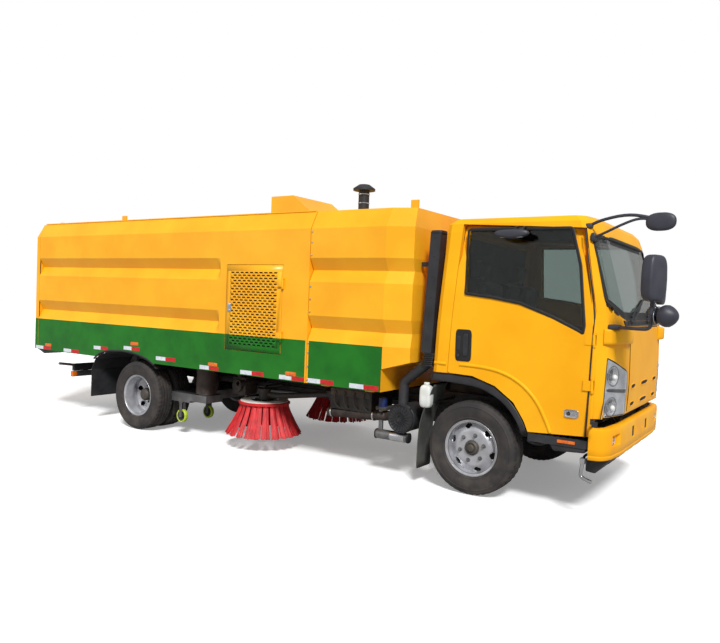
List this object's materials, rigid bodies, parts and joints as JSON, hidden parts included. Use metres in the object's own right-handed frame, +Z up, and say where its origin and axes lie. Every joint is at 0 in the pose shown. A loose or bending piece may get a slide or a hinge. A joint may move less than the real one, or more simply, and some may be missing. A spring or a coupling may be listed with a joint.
{
  "type": "street sweeper truck",
  "caption": "Forward-control sweeper truck with a tilting cab, a tipping dust bin, gutter brushes and a lowering suction nozzle.",
  "frame": {"origin": "centre of the bounding box's base, at ground level", "axes": "+X towards the front, +Y to the truck's left, +Z up"},
  "size_m": [7.794, 2.4799, 2.788],
  "materials": {
    "body_paint": "orange yellow paint with green skirt",
    "cab_paint": "orange yellow gloss paint",
    "chassis_paint": "black paint",
    "grey_steel": "bare steel",
    "rim_paint": "silver paint",
    "tyre": "matte rubber",
    "glass": "clear glass",
    "lamp_glass": "clear lamp cover",
    "black_plastic": "grained black",
    "grey_plastic": "grey plastic",
    "seat_fabric": "dark woven",
    "hose_rubber": "brown black hose",
    "bristle": "red plastic bristle",
    "castor": "yellow green tread",
    "cast_metal": "rough casting",
    "alu_tank": "plain aluminium"
  },
  "bodies": {
    "chassis": {"chassis_frame": "chassis_paint", "front_axle": "cast_metal", "rear_axle": "cast_metal", "leaf_springs": "chassis_paint", "engine_block": "cast_metal", "drive_shaft": "grey_steel", "auxiliary_engine": "cast_metal", "air_intake": "black_plastic", "fuel_tank": "alu_tank", "hydraulic_tank": "chassis_paint", "air_reservoir": "grey_steel", "front_bumper": "cab_paint", "rear_bumper": "grey_steel", "mudguards": "black_plastic", "water_tank": "body_paint", "exhaust_stack": "black_plastic", "suction_hose": "hose_rubber"},
    "cab": {"cab_floor": "chassis_paint", "cab_rear_wall": "cab_paint", "cab_roof": "cab_paint", "front_panel": "cab_paint", "windscreen": "glass", "headlights": "lamp_glass", "dashboard": "grey_plastic", "seats": "seat_fabric", "mirrors": "black_plastic", "cab_steps": "black_plastic"},
    "right_door": {"right_door": "cab_paint", "right_door_glass": "glass"},
    "left_door": {"left_door": "cab_paint", "left_door_glass": "glass"},
    "steering_wheel": {"steering_wheel": "grey_plastic"},
    "right_knuckle": {"right_knuckle": "cast_metal"},
    "left_knuckle": {"left_knuckle": "cast_metal"},
    "right_front_wheel": {"right_front_rim": "rim_paint", "right_front_tyre": "tyre"},
    "left_front_wheel": {"left_front_rim": "rim_paint", "left_front_tyre": "tyre"},
    "right_rear_wheels": {"right_rear_rims": "rim_paint", "right_rear_tyres": "tyre"},
    "left_rear_wheels": {"left_rear_rims": "rim_paint", "left_rear_tyres": "tyre"},
    "dust_bin": {"bin_floor": "chassis_paint", "bin_walls": "body_paint", "bin_roof": "body_paint", "exhaust_hood": "body_paint"},
    "tailgate": {"tailgate": "body_paint"},
    "right_service_door": {"right_service_door": "body_paint"},
    "left_service_door": {"left_service_door": "body_paint"},
    "lift_barrel": {"lift_barrel": "chassis_paint"},
    "lift_rod": {"lift_rod": "grey_steel"},
    "right_brush_arm": {"right_brush_arm": "chassis_paint"},
    "left_brush_arm": {"left_brush_arm": "chassis_paint"},
    "right_brush": {"right_brush": "bristle"},
    "left_brush": {"left_brush": "bristle"},
    "suction_nozzle": {"suction_nozzle": "grey_steel"},
    "right_outer_castor": {"right_outer_castor": "castor"},
    "right_inner_castor": {"right_inner_castor": "castor"},
    "left_outer_castor": {"left_outer_castor": "castor"},
    "left_inner_castor": {"left_inner_castor": "castor"}
  },
  "joints": [
    {"name": "cab_tilt", "type": "hinge", "parent": "chassis", "child": "cab", "pos_m": [3.327, 0, 0.68], "axis": [0, 1, 0], "range_deg": [0, 40]},
    {"name": "right_door_swing", "type": "hinge", "parent": "cab", "child": "right_door", "pos_m": [3.293, -0.9895, 1.25], "axis": [0, 0, 1], "range_deg": [0, 70]},
    {"name": "left_door_swing", "type": "hinge", "parent": "cab", "child": "left_door", "pos_m": [3.293, 0.9895, 1.25], "axis": [0, 0, -1], "range_deg": [0, 70]},
    {"name": "left_steer", "type": "hinge", "parent": "chassis", "child": "left_knuckle", "pos_m": [2.307, 0.73, 0.398], "axis": [0, 0, 1], "range_deg": [-32, 32]},
    {"name": "right_steer", "type": "hinge", "parent": "chassis", "child": "right_knuckle", "pos_m": [2.307, -0.73, 0.398], "axis": [0, 0, 1], "range_deg": [-32, 32]},
    {"name": "steering_wheel_turn", "type": "hinge", "parent": "cab", "child": "steering_wheel", "pos_m": [2.997, 0.46, 1.5], "axis": [-0.4695, 0, 0.8829], "range_deg": [-480, 480]},
    {"name": "left_front_spin", "type": "hinge", "parent": "left_knuckle", "child": "left_front_wheel", "pos_m": [2.307, 0.84, 0.398], "axis": [0, 1, 0], "continuous": true},
    {"name": "right_front_spin", "type": "hinge", "parent": "right_knuckle", "child": "right_front_wheel", "pos_m": [2.307, -0.84, 0.398], "axis": [0, 1, 0], "continuous": true},
    {"name": "left_rear_spin", "type": "hinge", "parent": "chassis", "child": "left_rear_wheels", "pos_m": [-1.868, 0.825, 0.398], "axis": [0, 1, 0], "continuous": true},
    {"name": "right_rear_spin", "type": "hinge", "parent": "chassis", "child": "right_rear_wheels", "pos_m": [-1.868, -0.825, 0.398], "axis": [0, 1, 0], "continuous": true},
    {"name": "bin_tilt", "type": "hinge", "parent": "chassis", "child": "dust_bin", "pos_m": [-3.293, 0, 0.8], "axis": [0, -1, 0], "range_deg": [0, 45]},
    {"name": "tailgate_lift", "type": "hinge", "parent": "dust_bin", "child": "tailgate", "pos_m": [-3.873, 0, 2.474], "axis": [0, 1, 0], "range_deg": [0, 90]},
    {"name": "right_service_door_swing", "type": "hinge", "parent": "dust_bin", "child": "right_service_door", "pos_m": [0.341, -1.128, 1.485], "axis": [0, 0, 1], "range_deg": [0, 100]},
    {"name": "left_service_door_swing", "type": "hinge", "parent": "dust_bin", "child": "left_service_door", "pos_m": [0.341, 1.128, 1.485], "axis": [0, 0, -1], "range_deg": [0, 100]},
    {"name": "lift_barrel_pivot", "type": "hinge", "parent": "chassis", "child": "lift_barrel", "pos_m": [-1.293, 0, 0.66], "axis": [0, 1, 0], "range_deg": [0, 29.03]},
    {"name": "lift_rod_slide", "type": "slide", "parent": "lift_barrel", "child": "lift_rod", "axis": [-0.9897, 0, 0.143], "range_m": [0, 0.6102]},
    {"name": "right_arm_swing", "type": "hinge", "parent": "chassis", "child": "right_brush_arm", "pos_m": [0.607, -0.6, 0.64], "axis": [0, -0.515, 0.8572], "range_deg": [0, 11]},
    {"name": "left_arm_swing", "type": "hinge", "parent": "chassis", "child": "left_brush_arm", "pos_m": [0.607, 0.6, 0.64], "axis": [0, -0.515, -0.8572], "range_deg": [0, 11]},
    {"name": "right_brush_spin", "type": "hinge", "parent": "right_brush_arm", "child": "right_brush", "pos_m": [-0.213, -0.7, 0.5], "axis": [0, 0, 1], "continuous": true},
    {"name": "left_brush_spin", "type": "hinge", "parent": "left_brush_arm", "child": "left_brush", "pos_m": [-0.213, 0.7, 0.5], "axis": [0, 0, 1], "continuous": true},
    {"name": "nozzle_lower", "type": "slide", "parent": "chassis", "child": "suction_nozzle", "axis": [0, 0, -1], "range_m": [0, 0.135]},
    {"name": "right_outer_castor_roll", "type": "hinge", "parent": "suction_nozzle", "child": "right_outer_castor", "pos_m": [-1.278, -0.89, 0.215], "axis": [0, 1, 0], "continuous": true},
    {"name": "right_inner_castor_roll", "type": "hinge", "parent": "suction_nozzle", "child": "right_inner_castor", "pos_m": [-1.278, -0.485, 0.215], "axis": [0, 1, 0], "continuous": true},
    {"name": "left_outer_castor_roll", "type": "hinge", "parent": "suction_nozzle", "child": "left_outer_castor", "pos_m": [-1.278, 0.89, 0.215], "axis": [0, 1, 0], "continuous": true},
    {"name": "left_inner_castor_roll", "type": "hinge", "parent": "suction_nozzle", "child": "left_inner_castor", "pos_m": [-1.278, 0.485, 0.215], "axis": [0, 1, 0], "continuous": true}
  ],
  "couplings": [
    {"joint": "right_steer", "follows": "left_steer", "ratio": 1},
    {"joint": "steering_wheel_turn", "follows": "left_steer", "ratio": 15},
    {"joint": "lift_barrel_pivot", "follows": "bin_tilt", "ratio": 0.63629},
    {"joint": "lift_rod_slide", "follows": "bin_tilt", "m_per_rad": 0.77565}
  ]
}
